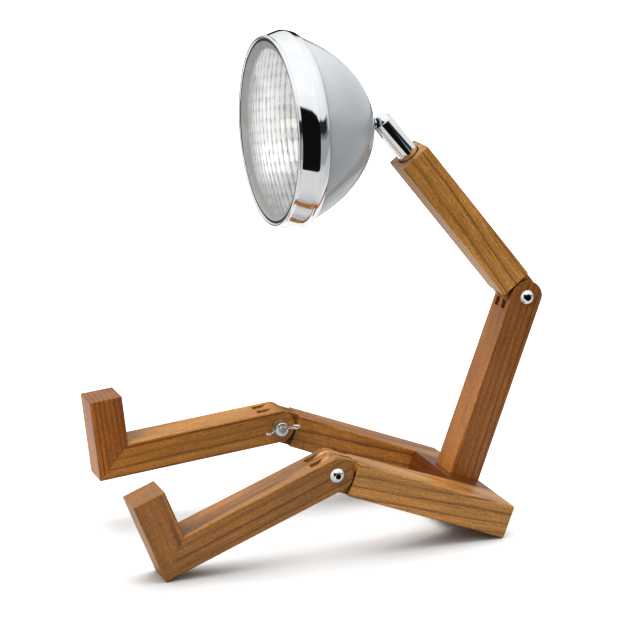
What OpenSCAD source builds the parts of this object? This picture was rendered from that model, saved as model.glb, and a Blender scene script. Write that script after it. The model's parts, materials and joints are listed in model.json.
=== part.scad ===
// Desk lamp in the shape of a seated robot. Oiled hardwood bars make its legs, seat, spine
// and neck, and a round headlamp is its head. Each hinge is a finger joint of five layers
// round a bolt that a wing nut clamps, and a ball in a slotted tube carries the head.
// +Z is up, -Y is the way the lamp faces, +X is its own left side.
// The origin lies on the table, under the middle of the whole lamp.

/* [Timber bars] */
// Depth of every bar, measured square to its hinge bolt
bar_h = 25; // [20:0.5:32]
// Width of every bar, measured along its hinge bolt
bar_w = 28.6; // [24:0.2:36]
// Width of the chamfer on the long edges
edge = 0.8; // [0.4:0.1:2]

/* [Legs] */
// Thigh, from the knee bolt to its rear end
thigh_len = 144.5; // [110:0.5:180]
// Shin, from the knee bolt to the sole
shin_len = 143.5; // [110:0.5:180]
// Foot, from the heel to the toe
foot_h = 62; // [45:1:80]
// Distance between the middles of the two legs
leg_spacing = 128.4; // [110:0.2:150]
// Width of a thigh at its rear end
thigh_rear_w = 42; // [34:0.5:45]

/* [Seat, spine and neck] */
// Seat block, from front to back
seat_len = 34.6; // [32:0.2:45]
// Spine, from the seat to the shoulder bolt
spine_len = 145; // [110:0.5:180]
// Distance from the rear end of the seat to the middle of the spine's foot
spine_set = 14.2; // [13.2:0.2:19]
// Forward lean of the spine, from square to the seat
spine_lean = 0.9; // [0:0.1:3]
// Neck bar, from the shoulder bolt to its square end
neck_bar_len = 144.5; // [110:0.5:180]
// Distance from the shoulder bolt to the middle of the ball
ball_reach = 176.5; // [165:0.5:200]

/* [Pose] */
// Bend of the left knee, from a straight leg
knee_left_bend = 42.6; // [30:0.1:60]
// Bend of the right knee, from a straight leg
knee_right_bend = 27; // [0:0.5:35]
// Bend of the neck bar, forward from in line with the spine
shoulder_bend = 58.8; // [0:0.1:80]

/* [Head] */
// Distance from the middle of the ball to the front edge of the bezel
head_reach = 89; // [85:0.5:110]
// Radius of the glass that shows inside the bezel
glass_r = 66.3; // [60:0.1:75]
// Largest radius of the bezel
bezel_r = 72.1; // [66:0.1:82]
// Length of the bezel, from front to back
bezel_len = 22.8; // [18:0.2:30]
// Radius of the bowl where it enters the bezel
bowl_r = 68; // [62:0.1:74]
// Depth of the bowl, from the back of the bezel to its rear pole
bowl_depth = 55.8; // [45:0.2:70]

/* [Fittings] */
// Diameter of the hinge bolts
bolt_d = 6; // [5:0.5:8]
// Diameter of the bolts' button heads
bolt_head_d = 11; // [9:0.5:14]
// Span of a wing nut, from tip to tip
wing_span = 28; // [24:0.5:34]
// Outer diameter of the neck tube
tube_d = 16; // [14:0.5:18]
// Length of neck tube held inside the neck bar
tube_grip = 30; // [20:1:40]
// Diameter of the ball
ball_d = 13.8; // [12:0.1:15.8]
// Diameter of the lamp's cord, which sets the bore of the grommet
cord_d = 5.6; // [4:0.2:7]

/* [Hidden] */

$fn = 64;
small = 0.05;       // running clearance of a bolt, in radius
over = 1;           // how far a cutter runs past the face that it cuts

// Finger joint: five layers across the bar, numbered from the lamp's right to its left
layer_gap = 0.4;
layer_t = (bar_w - 4 * layer_gap) / 5;
fingers = [0, 2, 4];
tongues = [1, 3];
shoulder = bar_h / 2 + 1.4;     // from the bolt to the square shoulder of the joint
function layer_x(i) = -bar_w / 2 + i * (layer_t + layer_gap);

// Fittings
bolt_r = bolt_d / 2;
washer_t = 1.2;
nut_h = 6.5;
leg_x = leg_spacing / 2;
tube_r = tube_d / 2;
tube_wall = 1;
bush_wall = 1;
ball_r = ball_d / 2;
stem_r = 3;
tube_rim = 2.3;                 // from the ball's middle to the tube's rim
tube_foot = ball_reach - (neck_bar_len - tube_grip);    // from the ball's middle to the foot

// The seat rests on its rear bottom edge and the left heel, which tips the seat back.
// The heel's bottom edge, in the seat's own level frame: u forward and w up.
heel_u = thigh_len + shin_len * cos(knee_left_bend) - bar_h / 2 * sin(knee_left_bend);
heel_w = bar_h / 2 - shin_len * sin(knee_left_bend) - bar_h / 2 * cos(knee_left_bend);
seat_tip = atan2(-heel_w, heel_u);

// The whole lamp, from the toe of the left foot to the back of the shoulder joint
left_slope = knee_left_bend - seat_tip;
heel_forward = norm([heel_u, heel_w]);
toe_forward = heel_forward + foot_h * sin(left_slope);
shoulder_u = spine_set + spine_len * sin(spine_lean);
shoulder_w = bar_h + spine_len * cos(spine_lean);
shoulder_forward = shoulder_u * cos(seat_tip) - shoulder_w * sin(seat_tip);
joint_back = bar_h / 2 - shoulder_forward;
origin_y = (toe_forward - joint_back) / 2;

// The head looks level, so its bend on the ball follows from the slope of the neck bar
neck_slope = seat_tip + 90 - spine_lean - shoulder_bend;

// ---- Places ------------------------------------------------------------------------

// The seat's frame: level thighs running to -Y, rear bottom edge on the X axis
module in_seat() {
    translate([0, origin_y, 0]) rotate([-seat_tip, 0, 0]) children();
}

// A thigh's frame: knee bolt along X at the origin, timber running to +Z, underside to +Y
module in_thigh(side) {
    in_seat() translate([side * leg_x, -thigh_len, bar_h / 2]) rotate([-90, 0, 0]) children();
}

// A shin's frame: knee bolt along X at the origin, timber running to +Z, top side to +Y
module in_shin(side, bend) {
    in_seat() translate([side * leg_x, -thigh_len, bar_h / 2]) rotate([90 + bend, 0, 0]) children();
}

module at_shoulder() {
    in_seat() translate([0, -shoulder_u, shoulder_w]) children();
}

// The spine's frame: shoulder bolt along X at the origin, timber running to +Z, front to +Y
module in_spine() {
    at_shoulder() rotate([180 + spine_lean, 0, 0]) children();
}

// The neck's frame: shoulder bolt along X at the origin, timber running to +Z, back to +Y
module in_neck() {
    at_shoulder() rotate([spine_lean + shoulder_bend, 0, 0]) children();
}

module at_ball() {
    in_neck() translate([0, 0, ball_reach]) children();
}

// The head's frame: ball at the origin, looking along +Z, top to +Y
module in_head() {
    at_ball() rotate([neck_slope, 0, 0]) children();
}

// From the front edge of the bezel, with +Z running back into the head
module from_bezel() {
    in_head() translate([0, 0, head_reach]) mirror([0, 0, 1]) children();
}

// ---- Timber ------------------------------------------------------------------------

// Section of a bar, with chamfered corners
module bar_section(w = bar_w, h = bar_h, c = edge) {
    polygon([
        [-w / 2 + c, -h / 2], [w / 2 - c, -h / 2], [w / 2, -h / 2 + c], [w / 2, h / 2 - c],
        [w / 2 - c, h / 2], [-w / 2 + c, h / 2], [-w / 2, h / 2 - c], [-w / 2, -h / 2 + c]
    ]);
}

// The room that another bar's layers need, from the round end to the shoulder
module layer_slots(layers) {
    for (i = layers)
        translate([layer_x(i) - layer_gap, -bar_h / 2 - over, -bar_h / 2 - over])
            cube([layer_t + 2 * layer_gap, bar_h + 2 * over, shoulder + bar_h / 2 + over]);
}

// Everything within the round end and the straight sides of a bar, seen along its bolt
module round_end(len, w) {
    rotate([0, 90, 0]) cylinder(r = bar_h / 2, h = w, center = true);
    translate([-w / 2, -bar_h / 2, 0]) cube([w, bar_h, len]);
}

module bolt_bore(r = bolt_r + small) {
    rotate([0, 90, 0]) cylinder(r = r, h = 3 * bar_w, center = true);
}

// A bar with one hinged end, cut with slots for the other bar's layers
module hinged_bar(len, other_layers) {
    difference() {
        intersection() {
            translate([0, 0, -bar_h / 2]) linear_extrude(height = len + bar_h / 2) bar_section();
            round_end(len, bar_w);
        }
        layer_slots(other_layers);
        bolt_bore();
    }
}

// A chamfer along a straight edge that runs up +Z
module edge_cut(len) {
    rotate([0, 0, 45]) translate([-edge / sqrt(2), -edge / sqrt(2), -over])
        cube([edge * sqrt(2), edge * sqrt(2), len + 2 * over]);
}

// Thigh: its outer face is straight, and its inner face leans in towards the seat
module thigh(side) {
    lean = atan2(thigh_rear_w - bar_w, thigh_len - shoulder);
    outer_x = side * bar_w / 2;
    color("peru") in_thigh(side) difference() {
        intersection() {
            rotate([90, 0, 0]) linear_extrude(height = bar_h, center = true) polygon([
                [outer_x, -bar_h / 2], [outer_x, thigh_len],
                [outer_x - side * thigh_rear_w, thigh_len],
                [-outer_x, shoulder], [-outer_x, -bar_h / 2]
            ]);
            round_end(thigh_len, 3 * bar_w);
        }
        layer_slots(fingers);
        bolt_bore();
        for (top = [-1, 1]) {
            translate([outer_x, top * bar_h / 2, 0]) edge_cut(thigh_len);
            translate([-outer_x, top * bar_h / 2, shoulder]) rotate([0, -side * lean, 0])
                edge_cut(2 * thigh_len);
        }
        seat_dowel_rods(side, dowel_r + small / 2);
    }
}

// Dowels: two on each side of the seat block, run into the thigh beside it
dowel_r = 4;
dowel_len = 30;
seat_dowel_u = [9, 26];
function thigh_inner_x(u) = leg_x + bar_w / 2
    - bar_w - (thigh_rear_w - bar_w) * (thigh_len - shoulder - u) / (thigh_len - shoulder);

// The dowels of one side, in that thigh's frame
module seat_dowel_rods(side, r) {
    for (u = seat_dowel_u)
        translate([side * (thigh_inner_x(u) - leg_x), 0, thigh_len - u]) rotate([0, 90, 0])
            cylinder(r = r, h = dowel_len, center = true);
}

module seat_dowels() {
    color("burlywood") for (side = [-1, 1]) in_thigh(side) seat_dowel_rods(side, dowel_r);
}

// Seat block: fills the space between the thighs, under the spine
module seat_block() {
    rear_x = thigh_inner_x(0);
    front_x = thigh_inner_x(seat_len);
    color("peru") difference() {
        in_seat() linear_extrude(height = bar_h)
            polygon([[-rear_x, 0], [rear_x, 0], [front_x, -seat_len], [-front_x, -seat_len]]);
        for (side = [-1, 1]) in_thigh(side) seat_dowel_rods(side, dowel_r + small / 2);
        spine_dowel_rods(spine_dowel_r + small / 2);
        screw_bore(spine_screw_r + small);
    }
}

// Spine: its foot is cut to stand flat on the seat
module spine() {
    spare = 2;
    color("sienna") difference() {
        in_spine() hinged_bar(spine_len + spare, tongues);
        in_seat() translate([-bar_w, -spine_set - bar_h, 0]) cube([2 * bar_w, 2 * bar_h, bar_h]);
        spine_dowel_rods(spine_dowel_r + small / 2);
        screw_bore(spine_screw_r + small);
    }
}

// Two dowels and a screw between them hold the spine on the seat
spine_dowel_r = 3;
spine_dowel_x = 8.5;
spine_dowel_len = 30;
module spine_dowel_rods(r) {
    for (side = [-1, 1])
        in_seat() translate([side * spine_dowel_x, -spine_set, bar_h])
            cylinder(r = r, h = spine_dowel_len, center = true);
}

module spine_dowels() {
    color("burlywood") spine_dowel_rods(spine_dowel_r);
}

// Countersunk wood screw, from the seat's underside up into the spine
spine_screw_r = 2.25;
screw_head_r = 4.4;
screw_len = 60;
screw_sink = 0.6;
module screw_bore(r) {
    in_seat() translate([0, -spine_set, 0]) {
        translate([0, 0, -over]) cylinder(r = r, h = screw_len + 2 * over);
        translate([0, 0, -over]) cylinder(r = screw_head_r + small, h = over + screw_sink);
        translate([0, 0, screw_sink])
            cylinder(r1 = screw_head_r + small, r2 = r, h = screw_head_r - spine_screw_r);
    }
}

module spine_screw() {
    color("silver") in_seat() translate([0, -spine_set, screw_sink]) difference() {
        union() {
            cylinder(r = spine_screw_r, h = screw_len - 4);
            cylinder(r1 = screw_head_r, r2 = spine_screw_r, h = screw_head_r - spine_screw_r);
            translate([0, 0, screw_len - 4]) cylinder(r1 = spine_screw_r, r2 = 0.4, h = 3);
        }
        for (a = [0, 90]) rotate([0, 0, a]) translate([-2.2, -0.5, -over]) cube([4.4, 1, 1.4 + over]);
    }
}

// Shin and foot: two bars mitred at the heel
module mitre_half() {
    translate([0, -bar_h / 2, shin_len]) rotate([-45, 0, 0])
        translate([-bar_w, -2 * foot_h, 0]) cube([2 * bar_w, 4 * foot_h, 2 * foot_h]);
}

foot_dowel_r = 3;
foot_dowel_len = 22;
foot_dowel_x = 7.5;
module foot_dowel_rods(r) {
    for (side = [-1, 1])
        translate([side * foot_dowel_x, 0, shin_len - bar_h / 2]) rotate([-45, 0, 0])
            cylinder(r = r, h = foot_dowel_len, center = true);
}

module shin(side, bend) {
    color("peru") in_shin(side, bend) difference() {
        hinged_bar(shin_len, tongues);
        mitre_half();
        foot_dowel_rods(foot_dowel_r + small / 2);
    }
}

module foot(side, bend) {
    color("peru") in_shin(side, bend) difference() {
        intersection() {
            translate([0, -bar_h / 2, shin_len - bar_h / 2]) rotate([-90, 0, 0])
                linear_extrude(height = foot_h) bar_section();
            mitre_half();
        }
        foot_dowel_rods(foot_dowel_r + small / 2);
    }
}

module foot_dowels(side, bend) {
    color("burlywood") in_shin(side, bend) foot_dowel_rods(foot_dowel_r);
}

module neck_bar() {
    color("sienna") in_neck() difference() {
        hinged_bar(neck_bar_len, fingers);
        translate([0, 0, neck_bar_len - tube_grip - 2])
            cylinder(r = tube_r + bush_wall + small / 2, h = tube_grip + 2 + over);
        lock_bore(lock_r + small);
    }
}

// ---- Bolts, washers and wing nuts ------------------------------------------------------

bolt_head_h = 3.3;
socket_af = 4;          // across the flats of the hexagon socket
bolt_end = 1.6;         // how far a bolt stands out of its nut

// Button head on the wood at z = 0, shank running down to -Z
module button_bolt() {
    head_r = bolt_head_d / 2;
    crown_r = (pow(head_r, 2) + pow(bolt_head_h - 0.6, 2)) / (2 * (bolt_head_h - 0.6));
    crown_z = bolt_head_h - crown_r;
    top_r = 2.6;
    shank = bar_w + washer_t + nut_h + bolt_end;
    color("lightgray") difference() {
        union() {
            rotate_extrude() polygon(concat([[0, 0], [head_r, 0], [head_r, 0.6]],
                [for (i = [1 : 9]) let (r = head_r + (top_r - head_r) * i / 9)
                    [r, crown_z + sqrt(crown_r * crown_r - r * r)]],
                [[0, crown_z + sqrt(crown_r * crown_r - top_r * top_r)]]));
            translate([0, 0, 0.6 - shank]) cylinder(r = bolt_r, h = shank);
            translate([0, 0, -shank]) cylinder(r1 = bolt_r - 0.6, r2 = bolt_r, h = 0.6);
        }
        translate([0, 0, 1]) cylinder(r = socket_af / sqrt(3), h = bolt_head_h, $fn = 6);
    }
}

module plain_washer(outer_r = 6) {
    color("silver") difference() {
        cylinder(r = outer_r, h = washer_t);
        translate([0, 0, -over]) cylinder(r = bolt_r + 0.2, h = washer_t + 2 * over);
    }
}

// Wing nut: round hub standing on z = 0, with a wing to +X and one to -X
hub_r = 5.2;
wing_t = 2;
wing_tip_r = 3.1;
wing_rise = 3.6;        // how far the wings stand above the hub
module wing_nut() {
    tip_x = wing_span / 2 - wing_tip_r;
    tip_z = nut_h + wing_rise - wing_tip_r;
    color("lightgray") difference() {
        union() {
            cylinder(r1 = hub_r + 0.5, r2 = hub_r, h = nut_h);
            for (side = [-1, 1]) rotate([90, 0, 0]) linear_extrude(height = wing_t, center = true) {
                translate([side * tip_x, tip_z]) circle(r = wing_tip_r);
                polygon([[side * 4, 0.8], [side * 7.5, 1.2], [side * (tip_x + 1.8), tip_z - 2.5],
                    [side * (tip_x - 1.2), tip_z + 2.85], [side * 7, nut_h - 0.6], [side * 4, nut_h - 0.3]]);
            }
        }
        translate([0, 0, -over]) cylinder(r = bolt_r + small, h = nut_h + 2 * over);
    }
}

// The bolt's own frame on a finger joint, looking out along the bolt's head
module on_side(side) {
    rotate([0, side * 90, 0]) children();
}

module hinge_bolt(side) {
    translate([side * bar_w / 2, 0, 0]) on_side(side) button_bolt();
}

module hinge_washer(side) {
    translate([side * bar_w / 2, 0, 0]) on_side(side) plain_washer();
}

// angle turns the wings about the bolt: 0 puts them along the frame's own Y axis
module hinge_wing_nut(side, angle) {
    rotate([angle, 0, 0]) translate([side * (bar_w / 2 + washer_t), 0, 0]) on_side(side)
        rotate([0, 0, 90]) wing_nut();
}

knee_wing_angle = 90;
shoulder_wing_angle = 105;

// ---- Neck ----------------------------------------------------------------------------

lock_r = 2.5;
lock_z = neck_bar_len - 16;
module lock_bore(r) {
    translate([0, 0, lock_z]) rotate([0, -90, 0]) cylinder(r = r, h = bar_w);
}

// Grub screw that sets how stiffly the neck tube turns
module neck_lock_screw() {
    inner = tube_r + 0.3;
    len = bar_w / 2 - 1 - inner;
    color("dimgray") in_neck() translate([-inner, 0, lock_z]) rotate([0, -90, 0]) difference() {
        cylinder(r = lock_r, h = len);
        translate([0, 0, len - 2]) cylinder(r = 2.5 / sqrt(3), h = 2 + over, $fn = 6);
    }
}

// Nylon bush that lines the bore, set back from the end of the neck bar
bush_set = 2.5;
module neck_bush() {
    color("#202020") in_neck() difference() {
        translate([0, 0, neck_bar_len - tube_grip - 1])
            cylinder(r = tube_r + bush_wall, h = tube_grip + 1 - bush_set);
        translate([0, 0, neck_bar_len - tube_grip - 2])
            cylinder(r = tube_r + small, h = tube_grip + 2 + over);
        lock_bore(lock_r + small);
    }
}

slot_w = 2 * stem_r + 0.5;
slot_low = 5.4;         // from the ball's middle down to where the slot's round foot begins
module neck_tube() {
    bore_r = tube_r - tube_wall;
    lip_r = sqrt(pow(ball_r + 0.12, 2) - pow(tube_rim, 2)) + 0.05;
    color("lightgray") at_ball() difference() {
        rotate_extrude() polygon([
            [bore_r, -tube_foot], [tube_r, -tube_foot], [tube_r, tube_rim - 0.5],
            [tube_r - 0.5, tube_rim], [lip_r, tube_rim], [bore_r, 0.4]
        ]);
        translate([-slot_w / 2, -2 * tube_r, -slot_low]) cube([slot_w, 2 * tube_r, slot_low + tube_rim + over]);
        translate([0, 0, -slot_low]) rotate([90, 0, 0]) cylinder(d = slot_w, h = 2 * tube_r);
    }
}

seat_top = -2.6;
seat_foot = -12;
spring_count = 4;
spring_t = 1.1;
module ball_seat() {
    color("ivory") at_ball() difference() {
        translate([0, 0, seat_foot]) cylinder(r = tube_r - tube_wall - small, h = seat_top - seat_foot);
        sphere(r = ball_r + small);
        translate([0, 0, seat_foot - over]) cylinder(r = 2, h = 20);
        translate([-slot_w / 2, -2 * tube_r, -9]) cube([slot_w, 2 * tube_r, 20]);
    }
}

// Disc springs under the seat, stacked face to face
module seat_springs() {
    color("silver") at_ball() for (i = [0 : spring_count - 1])
        translate([0, 0, seat_foot - (i + 1) * spring_t]) rotate_extrude()
            polygon(i % 2 == 0 ? [[2.5, 0], [6.5, 0.4], [6.5, spring_t], [2.5, 0.7]]
                : [[2.5, 0.4], [6.5, 0], [6.5, 0.7], [2.5, spring_t]]);
}

// Threaded plug that loads the springs
plug_len = 6;
module tube_plug() {
    top = seat_foot - spring_count * spring_t;
    color("goldenrod") at_ball() difference() {
        translate([0, 0, top - plug_len]) cylinder(r = tube_r - tube_wall, h = plug_len);
        translate([0, 0, top - plug_len - over]) cylinder(r = 2, h = plug_len + 2 * over);
        translate([-5, -0.7, top - plug_len - over]) cube([10, 1.4, over + 1.5]);
    }
}

// ---- Head ----------------------------------------------------------------------------

// The bowl is part of an ellipse turned about the head's axis. d runs forward from its pole.
bowl_a = 78.5;
bowl_b = bowl_depth / (1 - sqrt(1 - pow(bowl_r / bowl_a, 2)));
bowl_steps = 22;
bowl_t = 1;
collar_len = 9;         // how far the bowl runs inside the bezel
function bowl_at(d, t = 0) = (bowl_a - t) * sqrt(1 - pow(1 - (d - t) / (bowl_b - t), 2));
head_len = bezel_len + bowl_depth;
pole_z = head_reach - head_len;     // from the ball to the bowl's rear pole
stud_hole_r = stem_r + 0.3;

// The cord's grommet sits in the rear of the bowl, on the lamp's right
grommet_d = 5.6;                    // depth from the pole of the grommet's middle
grommet_r = bowl_at(grommet_d);
grommet_turn = 200;
grommet_slope = atan2(bowl_at(grommet_d + 0.5) - bowl_at(grommet_d - 0.5), 1);
grommet_hole_r = 5;

module at_grommet() {
    in_head() rotate([0, 0, grommet_turn]) translate([grommet_r, 0, pole_z + grommet_d])
        rotate([0, 180 - (90 - grommet_slope), 0]) children();
}

module shade() {
    inner_d0 = bowl_t + 0.02;
    color("gainsboro") difference() {
        in_head() translate([0, 0, pole_z]) rotate_extrude($fn = 96) polygon(concat(
            [[0, 0]],
            [for (i = [1 : bowl_steps]) let (d = bowl_depth * pow(i / bowl_steps, 2)) [bowl_at(d), d]],
            [[bowl_r, bowl_depth + collar_len], [bowl_r - bowl_t, bowl_depth + collar_len]],
            [for (i = [bowl_steps : -1 : 1])
                let (d = inner_d0 + (bowl_depth - inner_d0) * pow(i / bowl_steps, 2)) [bowl_at(d, bowl_t), d]],
            [[0, bowl_t]]
        ));
        in_head() cylinder(r = stud_hole_r, h = pole_z + 10);
        at_grommet() cylinder(r = grommet_hole_r, h = 12, center = true);
    }
}

// Rubber grommet that the cord enters by
module cord_grommet() {
    color("#202020") at_grommet() rotate_extrude() polygon([
        [cord_d / 2, -3.2], [6.6, -3.2], [6.6, -1.9], [grommet_hole_r - 0.3, -1.9],
        [grommet_hole_r - 0.3, 0.9], [7, 0.9], [6.2, 2.6], [cord_d / 2, 2.6]
    ]);
}

// Ball and threaded stem: one steel stud, held on the bowl by a nut inside
stem_end = pole_z + 9;
module ball_stud() {
    color("lightgray") in_head() {
        sphere(r = ball_r);
        cylinder(r = stem_r, h = stem_end);
    }
}

// Black washer between the stud and the outside of the bowl
module stud_washer() {
    color("#202020") in_head() difference() {
        translate([0, 0, pole_z - 2]) cylinder(r = 7, h = 2);
        cylinder(r = stem_r, h = stem_end);
    }
}

module stud_backing_washer() {
    color("silver") in_head() difference() {
        translate([0, 0, pole_z + bowl_t + 1]) cylinder(r = 8, h = 1.2);
        cylinder(r = stem_r + 0.2, h = stem_end);
    }
}

module stud_nut() {
    color("silver") in_head() difference() {
        translate([0, 0, pole_z + bowl_t + 2.2]) cylinder(r = 10 / sqrt(3), h = 4, $fn = 6);
        cylinder(r = stem_r, h = stem_end + over);
    }
}

// Bezel: a sheet ring with a broad band in front, a low waist and a narrow lip behind.
// Each point is [distance behind the front edge, share of the way from glass to full radius]
bezel_t = 0.8;
bezel_line = [
    [0, 0], [0.3, 0.1], [1.4, 0.22], [4, 0.43], [7.2, 0.64], [10.5, 0.84],
    [13.2, 0.97], [14.8, 1], [16.2, 0.93], [17.6, 0.9], [20.2, 0.75], [bezel_len, 0.48]
];
function bezel_at(p, t) = [glass_r + p[1] * (bezel_r - glass_r) - t, p[0]];
module bezel() {
    n = len(bezel_line);
    color("lightgray") from_bezel() rotate_extrude($fn = 96) polygon(concat(
        [for (p = bezel_line) bezel_at(p, 0)],
        [for (i = [n - 1 : -1 : 3]) bezel_at(bezel_line[i], bezel_t)],
        [[glass_r, bezel_t]]
    ));
}

// Three spring clips hold the bezel on the bowl's collar
clip_turns = [30, 150, 270];
clip_w = 10;
clip_t = 1.2;
clip_len = 4.3;
clip_z = bezel_len - 7.3;
module bezel_clips() {
    color("silver") for (a = clip_turns) from_bezel() rotate([0, 0, a])
        translate([bowl_r + 0.1, -clip_w / 2, clip_z]) cube([clip_t, clip_w, clip_len]);
}

// Lens: a flat rim, a shallow slope and a domed middle, all one pressed glass
lens_set = 0.9;         // the rim's face lies this far behind the bezel's front edge
lens_t = 3.5;
lens_back = lens_set + lens_t + 1.5;
lens_rim_r = glass_r + 0.9;
dome_r = 60;
dome_drop = 3;          // the dome's edge lies this far behind the rim's face
dome_rise = 8;
dome_ball = (dome_r * dome_r + dome_rise * dome_rise) / (2 * dome_rise);
function dome_at(r) = lens_set + dome_drop - (sqrt(dome_ball * dome_ball - r * r) - (dome_ball - dome_rise));
module lens() {
    steps = 16;
    color("aliceblue", 0.5) from_bezel() rotate_extrude($fn = 96) polygon(concat(
        [for (i = [0 : steps]) let (r = dome_r * i / steps) [r, dome_at(r)]],
        [[glass_r - 1.5, lens_set], [glass_r - 0.2, lens_set], [lens_rim_r, lens_set + 2.2]],
        [[lens_rim_r, lens_back], [dome_r + 2, lens_back]],
        [for (i = [steps : -1 : 0]) let (r = dome_r * i / steps) [r, dome_at(r) + lens_t]]
    ));
}

gasket_t = 1.5;
module lens_gasket() {
    color("#202020") from_bezel() difference() {
        translate([0, 0, lens_back]) cylinder(r = lens_rim_r, h = gasket_t);
        translate([0, 0, lens_back - over]) cylinder(r = dome_r + 3, h = gasket_t + 2 * over);
    }
}

// Reflector: a parabola of spun aluminium, with a flange in front and a neck behind
flange_z = lens_back + gasket_t;
reflector_r = 62;
reflector_depth = 50;
reflector_t = 0.8;
neck_r = 14;
function reflector_z(r) = flange_z + reflector_depth * (1 - pow(r / reflector_r, 2));
module reflector() {
    steps = 16;
    radii = [for (i = [0 : steps]) neck_r + (reflector_r - neck_r) * i / steps];
    color("silver") from_bezel() rotate_extrude($fn = 96) polygon(concat(
        [for (r = radii) [r, reflector_z(r)]],
        [[lens_rim_r - 0.4, flange_z], [lens_rim_r - 0.4, flange_z + reflector_t]],
        [for (i = [steps : -1 : 0]) [radii[i] + 0.3, reflector_z(radii[i]) + reflector_t]]
    ));
}

plate_z = reflector_z(neck_r) + reflector_t + 0.2;
plate_t = 1;
holder_r = 10;
module holder_plate() {
    color("silver") from_bezel() difference() {
        translate([0, 0, plate_z]) cylinder(r = neck_r + 6, h = plate_t);
        translate([0, 0, plate_z - over]) cylinder(r = holder_r - 2, h = plate_t + 2 * over);
    }
}

holder_len = 17;
module lamp_holder() {
    color("white") from_bezel() difference() {
        translate([0, 0, plate_z - holder_len]) cylinder(r = holder_r, h = holder_len);
        translate([0, 0, plate_z - holder_len - over]) cylinder(r = capsule_r + 0.3, h = over + 6);
    }
}

capsule_r = 7.5;
capsule_len = 26;
module led_capsule() {
    foot_z = plate_z - holder_len + 6;
    color("lightyellow") from_bezel() {
        translate([0, 0, foot_z - capsule_len]) cylinder(r = capsule_r, h = capsule_len);
        translate([0, 0, foot_z - capsule_len]) sphere(r = capsule_r);
    }
}

// ---- Build ---------------------------------------------------------------------------

thigh(1);  // thigh_left
thigh(-1);  // thigh_right
seat_block();
seat_dowels();
spine();
spine_dowels();
spine_screw();
at_shoulder() hinge_bolt(1);  // shoulder_bolt
at_shoulder() hinge_washer(-1);  // shoulder_washer
at_shoulder() hinge_wing_nut(-1, shoulder_wing_angle);  // shoulder_wing_nut

shin(1, knee_left_bend);  // shin_left
foot(1, knee_left_bend);  // foot_left
foot_dowels(1, knee_left_bend);  // foot_dowels_left
in_shin(1, knee_left_bend) hinge_bolt(1);  // knee_bolt_left
in_shin(1, knee_left_bend) hinge_washer(-1);  // knee_washer_left
in_shin(1, knee_left_bend) hinge_wing_nut(-1, knee_wing_angle);  // knee_wing_nut_left

shin(-1, knee_right_bend);  // shin_right
foot(-1, knee_right_bend);  // foot_right
foot_dowels(-1, knee_right_bend);  // foot_dowels_right
in_shin(-1, knee_right_bend) hinge_bolt(-1);  // knee_bolt_right
in_shin(-1, knee_right_bend) hinge_washer(1);  // knee_washer_right
in_shin(-1, knee_right_bend) hinge_wing_nut(1, knee_wing_angle);  // knee_wing_nut_right

neck_bar();
neck_bush();
neck_lock_screw();
neck_tube();
ball_seat();
seat_springs();
tube_plug();

ball_stud();
stud_washer();
stud_backing_washer();
stud_nut();
shade();
cord_grommet();
bezel();
bezel_clips();
lens();
lens_gasket();
reflector();
holder_plate();
lamp_holder();
led_capsule();
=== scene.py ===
# %% [markdown]
# # A desk lamp that sits like a robot
#
# Nine oiled teak bars make the legs, the seat, the spine and the neck of this lamp. Chrome bolts and
# wing nuts clamp its finger joints, and a small ball joint carries a chrome and enamel headlamp.
# The measured model gives every piece its place and its motion. This scene gives each one its finish.
#
# Lengths below are written in millimetres, as a drawing would have them, and turned to metres once.

# %% Load the measured model
import json
import math

import bmesh
import bpy
from mathutils import Matrix, Vector


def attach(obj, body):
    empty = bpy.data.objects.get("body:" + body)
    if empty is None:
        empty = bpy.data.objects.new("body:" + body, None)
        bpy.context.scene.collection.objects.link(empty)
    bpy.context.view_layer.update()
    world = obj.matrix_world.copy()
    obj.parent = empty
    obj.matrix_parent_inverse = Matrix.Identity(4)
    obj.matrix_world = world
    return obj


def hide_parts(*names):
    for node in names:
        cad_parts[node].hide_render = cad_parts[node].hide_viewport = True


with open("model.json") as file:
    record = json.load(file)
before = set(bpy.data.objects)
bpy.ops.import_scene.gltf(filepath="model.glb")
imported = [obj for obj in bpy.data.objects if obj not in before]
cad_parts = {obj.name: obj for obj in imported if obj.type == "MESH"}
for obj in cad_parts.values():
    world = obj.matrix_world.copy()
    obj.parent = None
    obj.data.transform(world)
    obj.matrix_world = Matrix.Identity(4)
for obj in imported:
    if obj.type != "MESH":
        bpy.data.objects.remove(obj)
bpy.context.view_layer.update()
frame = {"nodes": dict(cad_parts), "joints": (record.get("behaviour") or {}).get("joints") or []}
MM = 0.001
TAU = 2 * math.pi
joints = {joint["name"]: joint for joint in frame["joints"]}

# %% [markdown]
# ## Where things are
#
# Every hinge of the lamp turns about a line across it, along X. So each piece lives in a frame that is
# moved to its hinge and turned about X only. In such a frame the piece's own length runs along Z,
# which is also the way a lathe and a timber's grain like it.

# %% Hinges, slopes and the frames that follow from them
SEAT_TIP = 21.22  # how far the seat leans back, in degrees
KNEE_BEND = {"left": 42.6, "right": 27.0}
SPINE_LEAN = 0.9
SHOULDER_BEND = 58.8
BAR_W = 28.6
HEAD_REACH = 89.0  # from the ball to the bezel's front edge


def hinge_at(name):
    return Vector(joints[name]["pos_m"])


def frame_at(point, turn):
    """A frame at a point in metres, turned about X by so many degrees, for pieces drawn in millimetres."""
    return Matrix.Translation(point) @ Matrix.Rotation(math.radians(turn), 4, "X") @ Matrix.Scale(MM, 4)


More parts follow.
